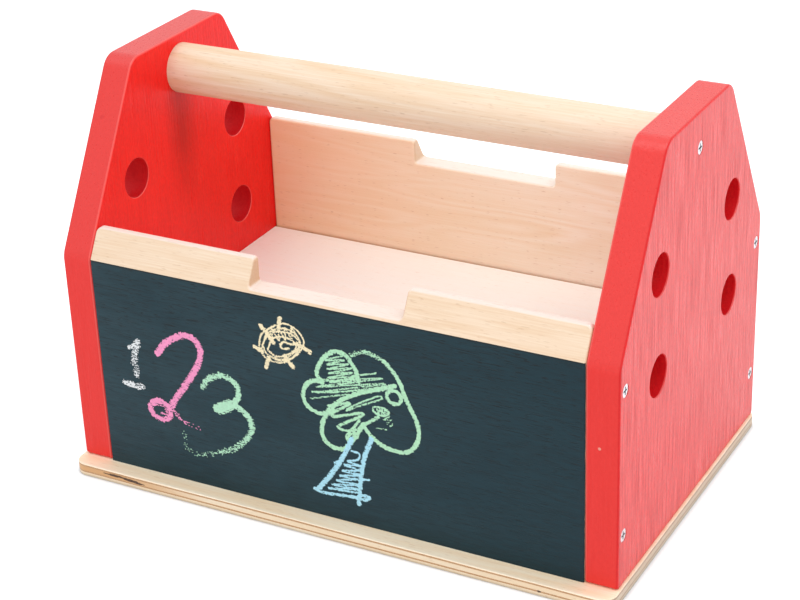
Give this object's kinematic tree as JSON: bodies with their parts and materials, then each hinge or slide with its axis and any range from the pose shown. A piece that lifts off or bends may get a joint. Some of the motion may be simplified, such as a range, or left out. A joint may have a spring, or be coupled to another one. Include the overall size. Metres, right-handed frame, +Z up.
{
  "type": "wooden tool tote with drawer",
  "caption": "Wooden tool tote with a round handle between two tall ends, a blackboard front, a raised open tray and a drawer that slides out of the back.",
  "frame": {"origin": "the base's underside, midway between the ends and midway between the outer faces of the front and back boards", "axes": "+Z up, +X along the handle from the left end to the right end, the blackboard front faces -Y and the drawer slides out along +Y"},
  "size_m": [0.2924, 0.2005, 0.203],
  "materials": {
    "red_stained_wood": "red water stain under satin varnish",
    "panel_wood": "sanded, clear satin varnish",
    "base_plywood": "sanded plywood, clear satin varnish",
    "tray_plywood": "sanded plywood",
    "bearer_wood": "planed",
    "handle_wood": "turned and sanded, clear satin varnish",
    "drawer_wood": "sanded, clear satin varnish",
    "drawer_plywood": "sanded plywood",
    "knob_wood": "turned, clear satin varnish",
    "zinc_steel": "bright zinc plating",
    "bright_steel": "bright drawn wire"
  },
  "bodies": {
    "tote": {"base_board": "base_plywood", "left_end": "red_stained_wood", "right_end": "red_stained_wood", "handle_rod": "handle_wood", "front_panel": "panel_wood", "back_panel": "panel_wood", "tray_floor": "tray_plywood", "left_bearer": "bearer_wood", "right_bearer": "bearer_wood", "front_foot_screws": "zinc_steel", "back_foot_screws": "zinc_steel", "left_handle_screw": "zinc_steel", "left_front_screws": "zinc_steel", "left_back_screws": "zinc_steel", "left_end_foot_screws": "zinc_steel", "left_bearer_foot_screws": "zinc_steel", "right_handle_screw": "zinc_steel", "right_front_screws": "zinc_steel", "right_back_screws": "zinc_steel", "right_end_foot_screws": "zinc_steel", "right_bearer_foot_screws": "zinc_steel"},
    "drawer": {"drawer_front": "drawer_wood", "drawer_back": "drawer_wood", "drawer_left_side": "drawer_wood", "drawer_right_side": "drawer_wood", "drawer_bottom": "drawer_plywood", "drawer_knob": "knob_wood", "knob_screw": "zinc_steel", "drawer_brads": "bright_steel"}
  },
  "joints": [
    {"name": "drawer_slide", "type": "slide", "parent": "tote", "child": "drawer", "axis": [0, 1, 0], "range_m": [0, 0.145]}
  ]
}
